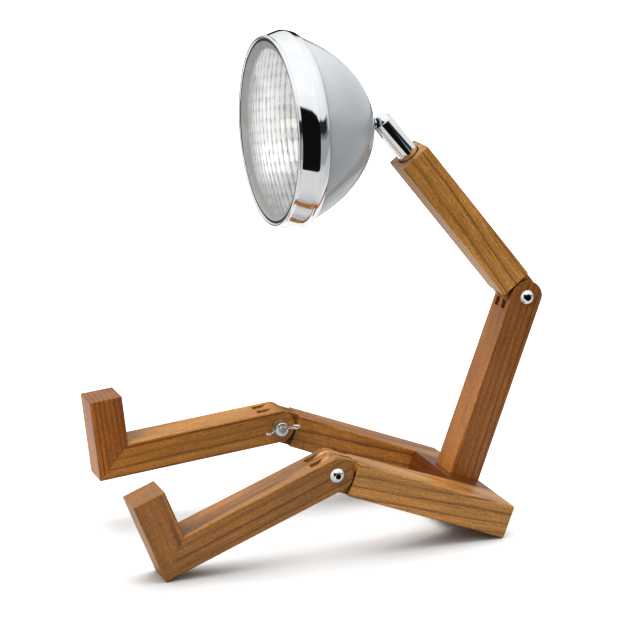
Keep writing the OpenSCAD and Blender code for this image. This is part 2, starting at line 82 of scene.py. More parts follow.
BALL = hinge_at("head_tilt")
SHOULDER = hinge_at("shoulder")
SPINE_TURN = 180 + SPINE_LEAN - SEAT_TIP
NECK_TURN = SPINE_LEAN + SHOULDER_BEND - SEAT_TIP
THIGH_TURN = -90 - SEAT_TIP
SHIN_TURN = {side: 90 + bend - SEAT_TIP for side, bend in KNEE_BEND.items()}
head_frame = frame_at(BALL, 90)  # +Z runs out of the lens, the way the lamp looks
# And here +Z runs back from the bezel's front edge
bezel_frame = head_frame @ Matrix.Translation((0, 0, HEAD_REACH)) @ Matrix.Rotation(math.pi, 4, "X")
print("neck slopes", round(NECK_TURN, 1), "shins", {s: round(t, 1) for s, t in SHIN_TURN.items()})

# %% [markdown]
# ## Making a piece
#
# A piece starts as a bmesh in its own frame and is moved to its place when it is finished, so its
# object stays at the origin. A lathe is `bmesh.ops.spin`: half an outline, turned all the way round.
# Sharp edges get a narrow bevel, because a real edge always catches a thin line of light.


# %% Helpers for shapes
def sharp_edges(bm, angle):
    limit = math.radians(angle)
    return [e for e in bm.edges if len(e.link_faces) == 2 and e.calc_face_angle(0) > limit]


def soften(bm, width, segments=3, angle=30):
    """Rounds every edge that turns more than the angle."""
    bmesh.ops.bevel(
        bm, geom=sharp_edges(bm, angle), offset=width, offset_type="OFFSET", affect="EDGES",
        segments=segments, profile=0.5, material=-1, clamp_overlap=True,
    )


def outline(bm, points, closed=False):
    """A line of vertices in the XZ plane, from points given as (radius, height)."""
    verts = [bm.verts.new((r, 0, z)) for r, z in points]
    pairs = list(zip(verts, verts[1:])) + ([(verts[-1], verts[0])] if closed else [])
    return verts + [bm.edges.new(pair) for pair in pairs]


def spin(bm, geometry, steps=96):
    """Turns an outline once round Z and closes the seam and the poles."""
    bmesh.ops.spin(
        bm, geom=geometry, cent=(0, 0, 0), axis=(0, 0, 1), angle=TAU, steps=steps, use_merge=True
    )
    bmesh.ops.remove_doubles(bm, verts=bm.verts[:], dist=0.0005)
    bmesh.ops.recalc_face_normals(bm, faces=bm.faces[:])


def finish_piece(bm, name, place, body, material, stands_for=(), smooth_angle=35):
    """Moves the shape to its place, gives it a body and a finish, and hides the node it stands for."""
    bmesh.ops.transform(bm, matrix=place, verts=bm.verts[:])
    mesh = bpy.data.meshes.new(name)
    bm.to_mesh(mesh)
    bm.free()
    mesh.shade_smooth()
    mesh.set_sharp_from_angle(angle=math.radians(smooth_angle))
    mesh.materials.append(material)
    piece = bpy.data.objects.new(name, mesh)
    bpy.context.scene.collection.objects.link(piece)
    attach(piece, body)
    if stands_for:
        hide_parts(*stands_for)
    print(name, len(mesh.polygons), "faces on", body)
    return piece


def arc(centre, radius, start, end, steps):
    """Points along an arc in the XZ plane, with angles in degrees from +X towards +Z."""
    turns = [math.radians(start + (end - start) * i / steps) for i in range(steps + 1)]
    return [(centre[0] + radius * math.cos(t), centre[1] + radius * math.sin(t)) for t in turns]


# %% [markdown]
# ## Making a finish
#
# Each finish is named for what it is and how it was made. Colours are the hex values a designer would
# quote, turned to linear light by one function. One helper adds a node, sets it and links it.


# %% Helpers for finishes
def colour(code, alpha=1.0):
    """A linear colour from an sRGB hex code such as C79A5B."""
    parts = [int(code[i : i + 2], 16) / 255 for i in (0, 2, 4)]
    return (*[p / 12.92 if p <= 0.04045 else ((p + 0.055) / 1.055) ** 2.4 for p in parts], alpha)


def add(tree, kind, settings=None, stops=(), **sockets):
    """Adds a node with its settings, its colour stops if it has any, and its sockets: values or links."""
    node = tree.nodes.new(kind)
    for key, value in (settings or {}).items():
        setattr(node, key, value)
    for i, (place, value) in enumerate(stops):
        marks = node.color_ramp.elements
        mark = marks[i] if i < 2 else marks.new(1.0)
        mark.position = place
        mark.color = value
    for key, value in sockets.items():
        name = key.replace("_", " ")
        socket = node.inputs[int(name[1:])] if name[0] == "i" and name[1:].isdigit() else node.inputs[name]
        if isinstance(value, bpy.types.NodeSocket):
            tree.links.new(value, socket)
        else:
            socket.default_value = value
    return node


def new_finish(name):
    material = bpy.data.materials.new(name)
    material.use_nodes = True
    material.node_tree.nodes.clear()
    return material, material.node_tree


def grey(value):
    return (value, value, value, 1)


# %% [markdown]
# ## Oiled teak
#
# Teak is planed, sanded and wiped with oil, so it stays open and silky: no film of varnish, only a
# broad faint gloss. Its colour comes from growth rings round a heart far outside the bar. They are cut
# into long dark streaks on two faces, leave plain speckle on the others and stripes on the ends.
# Because the pattern is solid, worked out in the bar's own frame, the grain runs on round each corner.
# The fibres and pores are 0.3 mm wide on the real wood. They are drawn about three times as wide to show.

# %% Grain of teak: how wide and how long each pattern is, in millimetres, and how fine its detail
grain = {
    "wave": (34, 190, 2),
    "ripple": (5, 70, 3),
    "vigour": (9, 160, 2),
    "cloud": (20, 90, 2),
    "fibre": (1.0, 22, 3),
    "fleck": (0.8, 2.6, 1),
}
PORE_W, PORE_L = 0.8, 5.5
PORE_COLOUR, PORE_FILL = "40230F", 0.55
WAVE_BEND, RIPPLE_BEND = 0.6, 0.4  # how far each bends the rings, in ring spacings
FINE_RING, FINE_SHARE = 0.37, 0.2  # spacing and strength of the finer rings between
END_GRAIN = 0.72  # brightness of a sawn end
# How much late wood shows over one year's growth: hardly any at first, a thin dark line at the end
late_line = [
    (0, grey(0.5)), (0.06, grey(0.06)), (0.55, grey(0.0)),
    (0.8, grey(0.3)), (0.94, grey(1)), (1, grey(0.5)),
]


# %% Teak, one board at a time
def teak(name, place, turn, ring, spot, lean, early, late, heart):
    """ring spaces the rings, spot picks a place in the tree, heart is its middle, lean slants the grain."""
    material, tree = new_finish(name)
    where = add(tree, "ShaderNodeTexCoord").outputs
    board = add(
        tree, "ShaderNodeMapping", {"vector_type": "TEXTURE"},
        Vector=where["Object"], Location=place, Rotation=(math.radians(turn + lean), 0, 0),
        Scale=(MM, MM, MM),
    ).outputs["Vector"]
    noise = {}
    for i, (layer, (across, along, detail)) in enumerate(grain.items()):
        stretched = add(
            tree, "ShaderNodeMapping", Vector=board, Location=(spot + 3 * i, 1.7 * spot, 0.6 * spot + i),
            Scale=(1 / across, 1 / across, 1 / along),
        ).outputs["Vector"]
        noise[layer] = add(
            tree, "ShaderNodeTexNoise", Vector=stretched, Scale=1.0, Detail=detail, Roughness=0.55
        )

    # Growth rings: distance from the heart, bent by a slow wave along the bar and roughened by a ripple
    bent = add(
        tree, "ShaderNodeVectorMath", {"operation": "MULTIPLY_ADD"},
        i0=noise["wave"].outputs["Color"], i1=(WAVE_BEND * ring, WAVE_BEND * ring, 0), i2=board,
    ).outputs["Vector"]
    from_heart = add(
        tree, "ShaderNodeVectorMath", {"operation": "MULTIPLY_ADD"},
        i0=bent, i1=(1, 1, 0), i2=(heart[0], heart[1], 0),
    ).outputs["Vector"]
    radius = add(tree, "ShaderNodeVectorMath", {"operation": "LENGTH"}, i0=from_heart).outputs["Value"]
    rough = add(
        tree, "ShaderNodeMath", {"operation": "MULTIPLY_ADD"},
        i0=noise["ripple"].outputs["Fac"], i1=RIPPLE_BEND * ring, i2=radius,
    ).outputs["Value"]
    streaks = []
    for share in (1.0, FINE_RING):
        years = add(
            tree, "ShaderNodeMath", {"operation": "DIVIDE"}, i0=rough, i1=ring * share
        ).outputs["Value"]
        year = add(tree, "ShaderNodeMath", {"operation": "FRACT"}, i0=years).outputs["Value"]
        streaks.append(add(tree, "ShaderNodeValToRGB", stops=late_line, Fac=year).outputs["Color"])
    # Some years are drier than others, so the dark lines fade in and out
    vigour = add(
        tree, "ShaderNodeMapRange", Value=noise["vigour"].outputs["Fac"],
        From_Min=0.36, From_Max=0.64, To_Min=0.4, To_Max=1.0,
    ).outputs["Result"]
    fine = add(
        tree, "ShaderNodeMath", {"operation": "MULTIPLY"}, i0=streaks[1], i1=FINE_SHARE
    ).outputs["Value"]
    strong = add(
        tree, "ShaderNodeMath", {"operation": "MULTIPLY_ADD", "use_clamp": True},
        i0=streaks[0], i1=vigour, i2=fine,
    ).outputs["Value"]
    body = add(
        tree, "ShaderNodeMix", {"data_type": "RGBA"}, i0=strong, i6=colour(early), i7=colour(late),
    ).outputs[2]

    # Clouds, fibres and flecks lighten and darken everything a little
    shade = None
    for layer, low, high in (("cloud", 0.84, 1.18), ("fibre", 0.8, 1.2), ("fleck", 0.75, 1.25)):
        part = add(
            tree, "ShaderNodeMapRange", Value=noise[layer].outputs["Fac"],
            From_Min=0.3, From_Max=0.7, To_Min=low, To_Max=high,
        ).outputs["Result"]
        shade = part if shade is None else add(
            tree, "ShaderNodeMath", {"operation": "MULTIPLY"}, i0=shade, i1=part
        ).outputs["Value"]
    shaded = add(
        tree, "ShaderNodeVectorMath", {"operation": "SCALE"}, i0=body, Scale=shade
    ).outputs["Vector"]

    # Pores: short dark dashes along the grain, seen end on as dots, and narrower where the fibre is pale
    spread = add(
        tree, "ShaderNodeMapping", Vector=board, Location=(spot, spot, spot),
        Scale=(1 / PORE_W, 1 / PORE_W, 1 / PORE_L),
    ).outputs["Vector"]
    gap = add(tree, "ShaderNodeTexVoronoi", Vector=spread, Scale=1.0, Randomness=1.0).outputs["Distance"]
    width = add(
        tree, "ShaderNodeMapRange", Value=noise["fibre"].outputs["Fac"],
        From_Min=0.35, From_Max=0.6, To_Min=0.42, To_Max=0.1,
    ).outputs["Result"]
    pore = add(
        tree, "ShaderNodeMapRange", {"interpolation_type": "SMOOTHSTEP"},
        Value=gap, From_Min=0.08, From_Max=width, To_Min=1.0, To_Max=0.0,
    ).outputs["Result"]
    filled = add(
        tree, "ShaderNodeMath", {"operation": "MULTIPLY"}, i0=pore, i1=PORE_FILL
    ).outputs["Value"]
    pored = add(
        tree, "ShaderNodeMix", {"data_type": "RGBA"}, i0=filled, i6=shaded, i7=colour(PORE_COLOUR),
    ).outputs[2]

    # End grain drinks more oil, so the sawn ends are darker
    grain_way = (0, -math.sin(math.radians(turn)), math.cos(math.radians(turn)))
    along = add(
        tree, "ShaderNodeVectorMath", {"operation": "DOT_PRODUCT"}, i0=where["Normal"], i1=grain_way
    ).outputs["Value"]
    end_on = add(tree, "ShaderNodeMath", {"operation": "ABSOLUTE"}, i0=along).outputs["Value"]
    darker = add(
        tree, "ShaderNodeMapRange", Value=end_on, From_Min=0.7, From_Max=0.95, To_Min=1.0, To_Max=END_GRAIN,
    ).outputs["Result"]
    oiled = add(
        tree, "ShaderNodeVectorMath", {"operation": "SCALE"}, i0=pored, Scale=darker
    ).outputs["Vector"]
    relief = add(
        tree, "ShaderNodeMath", {"operation": "SUBTRACT"}, i0=noise["fibre"].outputs["Fac"], i1=pore
    ).outputs["Value"]
    bump = add(tree, "ShaderNodeBump", Height=relief, Strength=0.35, Distance=0.05 * MM).outputs["Normal"]
    gloss = add(
        tree, "ShaderNodeMapRange", Value=noise["fibre"].outputs["Fac"],
        From_Min=0.3, From_Max=0.7, To_Min=0.32, To_Max=0.44,
    ).outputs["Result"]
    wood = add(
        tree, "ShaderNodeBsdfPrincipled",
        Base_Color=oiled, Roughness=gloss, Normal=bump, IOR=1.48, Specular_IOR_Level=0.75,
    ).outputs["BSDF"]
    add(tree, "ShaderNodeOutputMaterial", Surface=wood)
    return material


# %% [markdown]
# ## The nine timbers
#
# Each bar keeps the exact shape of its node: the node's loose triangles are merged into whole faces on
# a copy, and its corners get the slight rounding that sandpaper leaves. What makes nine bars of one
# wood look real is that each was sawn from its own board, so each has its own ring spacing and tone.

# %% Boards for the timbers
knees = {side: hinge_at("knee_" + side) for side in ("left", "right")}
SHIN_LEN = 143.5
heel = {side: frame_at(knees[side], SHIN_TURN[side]) @ Vector((0, 0, SHIN_LEN)) for side in knees}
boards = {
    # name: body, where its frame is, turn, ring spacing, spot in the tree, lean, early, late, heart
    "thigh_left": ("base", knees["left"], THIGH_TURN, 8.0, 3.1, 4.5, "B68340", "703F17", (-20, 110)),
    "thigh_right": ("base", knees["right"], THIGH_TURN, 8.5, 41.0, 2.0, "9E6B2E", "5B310F", (15, 120)),
    # the seat block's dark tone is partly its own wood, partly painted shade where it sits low between the
    # thighs under the spine
    "seat_block": ("base", SHOULDER, THIGH_TURN, 6.0, 77.0, 0.0, "6C3A12", "441C05", (20, 110)),
    "spine": ("base", SHOULDER, SPINE_TURN, 5.0, 19.0, 1.0, "955E1F", "5D300D", (-10, 240)),
    "shin_left": (
        "leg_left", knees["left"], SHIN_TURN["left"], 7.0, 55.0, 0.6, "966527", "532A0F", (5, -202),
    ),
    "shin_right": (
        "leg_right", knees["right"], SHIN_TURN["right"], 7.0, 91.0, 0.8, "A26E28", "5C300F", (-8, -200),
    ),
    "foot_left": (
        "leg_left", heel["left"], SHIN_TURN["left"] - 90, 4.2, 29.0, 0.0, "98652A", "613713", (-160, 20),
    ),
    "foot_right": (
        "leg_right", heel["right"], SHIN_TURN["right"] - 90, 3.8, 67.0, 1.0, "985C1F", "2E1303", (5, 190),
    ),
    "neck_bar": ("neck_arm", SHOULDER, NECK_TURN, 7.0, 13.0, -2.5, "C58E47", "7A4C1E", (90, -120)),
}
SANDED_EDGE = 0.35


# %% Cut the timbers
def merged_copy(node, tolerance=0.002, flat=0.4):
    """A node's shape in millimetres. Triangles that lie flat to within those degrees become one face."""
    bm = bmesh.new()
    bm.from_mesh(frame["nodes"][node].data)
    bmesh.ops.scale(bm, vec=(1 / MM,) * 3, verts=bm.verts[:])
    bmesh.ops.remove_doubles(bm, verts=bm.verts[:], dist=tolerance)
    bmesh.ops.dissolve_limit(
        bm, angle_limit=math.radians(flat), use_dissolve_boundaries=False,
        verts=bm.verts[:], edges=bm.edges[:],
    )
    return bm


for name, (body, *board) in boards.items():
    bm = merged_copy(name)
    soften(bm, SANDED_EDGE, segments=2, angle=35)
    wood = teak("oiled_teak_" + name, *board)
    finish_piece(
        bm, name + "_timber", Matrix.Scale(MM, 4), body, wood, [name], smooth_angle=12
    )


# %% [markdown]
# ## Bright chrome
#
# The bezel, the bolts, the wing nuts, the tube and the ball are steel or brass, polished and then
# chrome plated. Plate this bright has hardly any colour of its own: it shows the room. All it needs
# is a very low roughness that a faint haze of fine polishing marks lifts here and there.


# %% Chrome and other metals
def plated(name, code, low, high, mark_mm, metallic=1.0):
    """A metal whose gloss varies between two roughness values in patches of about that size."""
    material, tree = new_finish(name)
    where = add(tree, "ShaderNodeTexCoord").outputs["Object"]
    haze = add(tree, "ShaderNodeTexNoise", Vector=where, Scale=1 / (mark_mm * MM), Detail=3.0)
    gloss = add(
        tree, "ShaderNodeMapRange", Value=haze.outputs["Fac"],
        From_Min=0.35, From_Max=0.7, To_Min=low, To_Max=high,
    )
    worn = tuple(0.93 * part for part in colour(code))
    tint = add(
        tree, "ShaderNodeValToRGB", stops=[(0.3, colour(code)), (0.8, worn)], Fac=haze.outputs["Fac"]
    ).outputs["Color"]
    metal = add(
        tree, "ShaderNodeBsdfPrincipled",
        Base_Color=tint, Roughness=gloss.outputs["Result"], Metallic=metallic,
    ).outputs["BSDF"]
    add(tree, "ShaderNodeOutputMaterial", Surface=metal)
    return material


bright_chrome = plated("bright_chrome_plate", "EEF0F2", 0.025, 0.07, 9)
zinc_plate = plated("blue_zinc_plate", "B9BEC2", 0.28, 0.42, 3)
spun_aluminium = plated("satin_spun_aluminium", "EEF0F0", 0.24, 0.34, 6)
turned_brass = plated("turned_brass", "C9A055", 0.22, 0.36, 2)
dark_steel = plated("black_oxide_steel", "3A3A3C", 0.4, 0.55, 2)


# %% [markdown]
# ## Paint, plastics and rubber
#
# The bowl is pressed steel sprayed with a pale grey enamel: a smooth gloss coat with a trace of orange
# peel. Nylon and rubber are moulded, so they have a fine matt texture that scatters the light.


# %% Enamel, nylon, rubber, ceramic and dowel wood
def coated(name, code, second, gloss, grain_mm, relief_mm, coat=0.0):
    """A coloured surface with slight mottling and a fine relief of the given grain and depth."""
    material, tree = new_finish(name)
    where = add(tree, "ShaderNodeTexCoord").outputs["Object"]
    fine = add(tree, "ShaderNodeTexNoise", Vector=where, Scale=1 / (grain_mm * MM), Detail=2.0)
    mottle = add(tree, "ShaderNodeTexNoise", Vector=where, Scale=1 / (14 * grain_mm * MM), Detail=2.0)
    tint = add(
        tree, "ShaderNodeValToRGB", stops=[(0.35, colour(code)), (0.65, colour(second))],
        Fac=mottle.outputs["Fac"],
    ).outputs["Color"]
    bump = add(
        tree, "ShaderNodeBump", Height=fine.outputs["Fac"], Strength=0.4, Distance=relief_mm * MM
    )
    rough = add(
        tree, "ShaderNodeMapRange", Value=fine.outputs["Fac"],
        From_Min=0.3, From_Max=0.7, To_Min=gloss * 0.9, To_Max=gloss * 1.1,
    )
    skin = add(
        tree, "ShaderNodeBsdfPrincipled",
        Base_Color=tint, Roughness=rough.outputs["Result"], Normal=bump.outputs["Normal"], IOR=1.5,
        Coat_Weight=coat, Coat_Roughness=0.04,
    ).outputs["BSDF"]
    add(tree, "ShaderNodeOutputMaterial", Surface=skin)
    return material


grey_enamel = coated("pale_grey_gloss_enamel", "C3C9CD", "BFC5C9", 0.22, 1.6, 0.01, coat=0.6)
black_nylon = coated("moulded_black_nylon", "141415", "1B1B1C", 0.5, 0.4, 0.02)
black_rubber = coated("moulded_black_rubber", "101010", "181818", 0.7, 0.3, 0.03)
ivory_nylon = coated("machined_ivory_nylon", "E4DCC6", "DCD3BB", 0.45, 0.5, 0.02)
ground_glass = coated("ground_glass_rim", "8A8B87", "80817D", 0.3, 0.6, 0.02)
# the rim of the glass is painted near black: painted shade where it looks into the bezel
painted_shade_glass_edge = coated("glass_edge_in_painted_shade", "1C1D1D", "232423", 0.2, 0.6, 0.01)
white_ceramic = coated("glazed_white_ceramic", "F1F0EB", "ECEAE3", 0.18, 2.0, 0.01, coat=0.4)
beech = coated("turned_beech", "D7B483", "C79F6B", 0.6, 0.5, 0.04)
frosted_cover = coated("frosted_lamp_cover", "F6F1E2", "F2ECD9", 0.5, 0.4, 0.01)


# %% [markdown]
# ## Pressed glass
#
# A headlamp lens is pressed in a mould: smooth outside and fluted inside, so that each pillow spreads
# the beam. The pillows are real shapes, so they bend the bright reflector into a mesh of cells, which
# no painted pattern can do from every side. The grooves between them are also painted greyer than the
# glass, as painted shade that helps the mesh to show.


# %% Glass
PILLOW_ROW, PILLOW_ACROSS, PILLOW_DEPTH, PILLOW_TURN = 7.7, 7.8, 0.5, 11.5
CELL_SIDE, CELL_END = 1.0, 0.6  # how strongly the painted shade darkens a cell's sides and its ends
WAVER = 0.9  # how far that painted shade wanders from the grooves
# the lens is painted brighter in the middle and darker outside, fading from the first radius to the second
MIDDLE_R, OUTER_R, MIDDLE_PAINTED_LIGHT, OUTER_PAINTED_LIGHT = 15.0, 50.0, 0.95, 0.7


def glass(name, centre, groove, low, high, clear):
    """Pressed glass with painted shade in its grooves; clear is the share of it that lets light through."""
    material, tree = new_finish(name)
    where = add(tree, "ShaderNodeTexCoord").outputs["Object"]
    flow = add(tree, "ShaderNodeTexNoise", Vector=where, Scale=1 / (7 * MM), Detail=2.0).outputs["Fac"]
    gloss = add(
        tree, "ShaderNodeMapRange", Value=flow, From_Min=0.3, From_Max=0.7, To_Min=low, To_Max=high,
    ).outputs["Result"]
    cells = bezel_frame @ Matrix.Rotation(math.radians(-PILLOW_TURN), 4, "Z")
    cell = add(
        tree, "ShaderNodeMapping", {"vector_type": "TEXTURE"},
        Vector=where, Location=cells.translation, Rotation=cells.to_euler(),
        Scale=(PILLOW_ACROSS * MM, PILLOW_ROW * MM, MM),
    ).outputs["Vector"]
    part = add(tree, "ShaderNodeVectorMath", {"operation": "FRACTION"}, i0=cell).outputs["Vector"]
    centred = add(
        tree, "ShaderNodeVectorMath", {"operation": "MULTIPLY_ADD"},
        i0=part, i1=(2 * CELL_SIDE, 2 * CELL_END, 0), i2=(-CELL_SIDE, -CELL_END, 0),
    ).outputs["Vector"]
    off = add(tree, "ShaderNodeVectorMath", {"operation": "LENGTH"}, i0=centred).outputs["Value"]
    uneven = add(
        tree, "ShaderNodeMath", {"operation": "MULTIPLY_ADD"}, i0=flow, i1=WAVER, i2=off
    ).outputs["Value"]
    border = add(
        tree, "ShaderNodeMapRange", {"interpolation_type": "SMOOTHSTEP"},
        Value=uneven, From_Min=1.05, From_Max=1.5, To_Min=0.0, To_Max=1.0,
    ).outputs["Result"]
    painted_groove_shade = add(
        tree, "ShaderNodeMix", {"data_type": "RGBA"}, i0=border, i6=colour(centre), i7=colour(groove)
    ).outputs[2]
    # Painted light: the middle of the lens is painted brighter than its outer part, as it faces the deepest
    # part of the reflector
    spot = add(
        tree, "ShaderNodeMapping", {"vector_type": "TEXTURE"},
        Vector=where, Location=bezel_frame.translation, Rotation=bezel_frame.to_euler(),
        Scale=(MM, MM, MM),
    ).outputs["Vector"]
    flat = add(
        tree, "ShaderNodeVectorMath", {"operation": "MULTIPLY"}, i0=spot, i1=(1, 1, 0)
    ).outputs["Vector"]
    radius = add(tree, "ShaderNodeVectorMath", {"operation": "LENGTH"}, i0=flat).outputs["Value"]
    bright = add(
        tree, "ShaderNodeMapRange", {"interpolation_type": "SMOOTHSTEP"},
        Value=radius, From_Min=MIDDLE_R, From_Max=OUTER_R, To_Min=MIDDLE_PAINTED_LIGHT, To_Max=OUTER_PAINTED_LIGHT,
    ).outputs["Result"]
    tint = add(
        tree, "ShaderNodeVectorMath", {"operation": "SCALE"}, i0=painted_groove_shade, Scale=bright
    ).outputs["Vector"]
    stipple = add(tree, "ShaderNodeTexNoise", Vector=where, Scale=1 / (2.5 * MM), Detail=1.0).outputs["Fac"]
    bump = add(tree, "ShaderNodeBump", Height=stipple, Strength=0.5, Distance=0.15 * MM).outputs["Normal"]
    clear_glass = add(
        tree, "ShaderNodeBsdfPrincipled",
        Base_Color=tint, Roughness=gloss, Normal=bump, IOR=1.5, Transmission_Weight=clear,
    ).outputs["BSDF"]
    add(tree, "ShaderNodeOutputMaterial", Surface=clear_glass)
    return material


# the second colour is the painted shade in the grooves
pressed_glass = glass("stippled_outside_of_glass", "FFFFFF", "F4F6F4", 0.06, 0.1, 0.8)
fluted_glass = glass("fluted_inside_of_glass", "FFFFFF", "7C827F", 0.06, 0.12, 0.6)

# %% [markdown]
# ## The bezel
#
# The bezel is a ring of brass sheet, spun over a former and plated: a rolled front edge that grips the
# glass, a broad band, a crease and a narrow lip that closes on the bowl. The outline is drawn as
# (distance behind the front edge, radius) and turned on the head's axis.

# %% Turn the bezel
GLASS_R, BEZEL_R, BEZEL_LEN = 66.3, 72.1, 22.8
BEZEL_T, ROLL_R = 0.8, 1.4
band = [
    # distance behind the front edge, share of the way from the glass to the widest place
    (3.0, 0.35), (4.5, 0.46), (7.2, 0.64), (10.5, 0.84), (13.2, 0.97), (14.8, 1.0),
    (15.8, 0.965), (16.2, 0.93), (16.8, 0.915), (18.4, 0.87), (20.6, 0.74), (BEZEL_LEN, 0.48),
]
sheet = [(GLASS_R + share * (BEZEL_R - GLASS_R), back) for back, share in band]
roll = arc((GLASS_R + ROLL_R, ROLL_R), ROLL_R, 180, 345, 12)
inner = [(r - BEZEL_T, back) for r, back in sheet[::-1]] + [(GLASS_R + ROLL_R, 2 * ROLL_R)]
bm = bmesh.new()
spin(bm, outline(bm, roll + sheet + inner, closed=True), steps=160)
finish_piece(bm, "bezel_ring", bezel_frame, "head", bright_chrome, ["bezel"], 20)

# %% [markdown]
# ## The bowl
#
# The bowl is a pressed half ellipsoid with a straight collar that the bezel slides over. It is drawn as
# one thin wall, outside and inside, so it is a real shell when the lens is off.

# %% Turn the bowl
BOWL_R, BOWL_DEPTH, BOWL_A, BOWL_T, COLLAR = 68.0, 55.8, 78.5, 1.0, 9.0
BOWL_B = BOWL_DEPTH / (1 - math.sqrt(1 - (BOWL_R / BOWL_A) ** 2))
POLE = HEAD_REACH - BEZEL_LEN - BOWL_DEPTH  # from the ball to the bowl's rear pole
STUD_HOLE = 3.3


def bowl_radius(depth, wall=0.0):
    """Radius of the ellipse that far in front of its pole, less a wall."""
    return (BOWL_A - wall) * math.sqrt(max(0, 1 - (1 - (depth - wall) / (BOWL_B - wall)) ** 2))


def bowl_depth_at(radius, wall=0.0):
    return wall + (BOWL_B - wall) * (1 - math.sqrt(1 - (radius / (BOWL_A - wall)) ** 2))


radii = [STUD_HOLE + (BOWL_R - STUD_HOLE) * i / 40 for i in range(41)]
outside = [(r, POLE + bowl_depth_at(r)) for r in radii]
inside = [
    (r - BOWL_T * r / BOWL_R, POLE + bowl_depth_at(r * (1 - BOWL_T / BOWL_R), BOWL_T)) for r in radii[1:]
]
rim = [(BOWL_R, POLE + BOWL_DEPTH + COLLAR), (BOWL_R - BOWL_T, POLE + BOWL_DEPTH + COLLAR)]
bm = bmesh.new()
hole_edge = [(STUD_HOLE, POLE + BOWL_T + bowl_depth_at(STUD_HOLE))]
spin(bm, outline(bm, outside + rim + inside[::-1] + hole_edge, closed=True), steps=160)
finish_piece(bm, "bowl", head_frame, "head", grey_enamel, ["shade"], 30)

# %% [markdown]
# ## Lens
#
# The lens is a shallow dome with a flat rim. It starts as a lathe with a fine net of faces, and then
# every inner vertex moves along the head's axis by the height of a pillow at that spot. The pillows
# stand in rows about 8 mm apart, turned a little against the upright, as they sit in the real lamp.

# %% Press the lens
LENS_SET, LENS_T, DOME_R, DOME_DROP, DOME_RISE = 0.9, 3.5, 60.0, 3.0, 8.0
RIM_R = GLASS_R - 1.6  # beyond this the glass is painted dark, as painted shade where it looks into the bezel
FLUTED_R, FLUTE_FADE = DOME_R - 1, 5
DOME_BALL = (DOME_R**2 + DOME_RISE**2) / (2 * DOME_RISE)


def dome_back(radius):
    """How far behind the bezel's front edge the outside of the glass lies."""
    return LENS_SET + DOME_DROP - (math.sqrt(DOME_BALL**2 - radius**2) - (DOME_BALL - DOME_RISE))


rings = 54
steps = [DOME_R * i / rings for i in range(rings + 1)]
front = [(r, dome_back(r)) for r in steps]
lens_back = LENS_SET + LENS_T + 1.5
edge = [(RIM_R, LENS_SET), (GLASS_R - 0.2, LENS_SET), (GLASS_R + 0.9, LENS_SET + 2.2),
        (GLASS_R + 0.9, lens_back), (DOME_R + 2, lens_back)]
back = [(r, dome_back(r) + LENS_T) for r in steps[::-1]]
bm = bmesh.new()
spin(bm, outline(bm, front + edge + back), steps=288)
turn = math.radians(PILLOW_TURN)


def from_middle(place, pitch):
    """Distance from the middle of the pillow at that place, from 0 there to 1 on its border."""
    return abs(2 * ((place / pitch) % 1) - 1)


for vert in bm.verts:
    r = math.hypot(vert.co.x, vert.co.y)
    if r < FLUTED_R and vert.co.z > dome_back(r) + LENS_T / 2:
        across, up = vert.co.x, -vert.co.y  # this frame's Y runs down
        u = from_middle(across * math.cos(turn) + up * math.sin(turn), PILLOW_ACROSS)
        v = from_middle(up * math.cos(turn) - across * math.sin(turn), PILLOW_ROW)
        fade = min(1, (FLUTED_R - r) / FLUTE_FADE)
        vert.co.z += PILLOW_DEPTH * fade * (0.5 - (u * u + v * v) / 2)
for face in bm.faces:
    middle = face.calc_center_median()
    r = math.hypot(middle.x, middle.y)
    fluted = middle.z > dome_back(min(r, DOME_R)) + LENS_T / 2
    face.material_index = 3 if r > RIM_R else 1 if r > DOME_R else 2 * fluted
lens = finish_piece(bm, "lens_glass", bezel_frame, "head", pressed_glass, ["lens"], 60)
for finish in (ground_glass, fluted_glass, painted_shade_glass_edge):
    lens.data.materials.append(finish)
lens.visible_shadow = False  # the lamps' light reaches the reflector through it

# %% [markdown]
# ## Behind the lens
#
# A parabola of spun aluminium gathers the light of a small frosted capsule in a ceramic holder. They
# are only seen through the glass, but they are what makes the glass look deep.

# %% Reflector, holder and capsule
GASKET_T, REFLECTOR_R, REFLECTOR_DEPTH, NECK_R, DISH_T = 1.5, 62.0, 50.0, 14.0, 0.8
flange = lens_back + GASKET_T
mirror_radii = [NECK_R + (REFLECTOR_R - NECK_R) * i / 40 for i in range(41)]


def mirror_back(radius):
    return flange + REFLECTOR_DEPTH * (1 - (radius / REFLECTOR_R) ** 2)


dish = [(r, mirror_back(r)) for r in mirror_radii]
dish += [(GLASS_R + 0.5, flange), (GLASS_R + 0.5, flange + DISH_T)]
dish += [(r + 0.3, mirror_back(r) + DISH_T) for r in mirror_radii[::-1]]
bm = bmesh.new()
spin(bm, outline(bm, dish, closed=True), steps=128)
finish_piece(bm, "reflector_dish", bezel_frame, "head", spun_aluminium, ["reflector"])

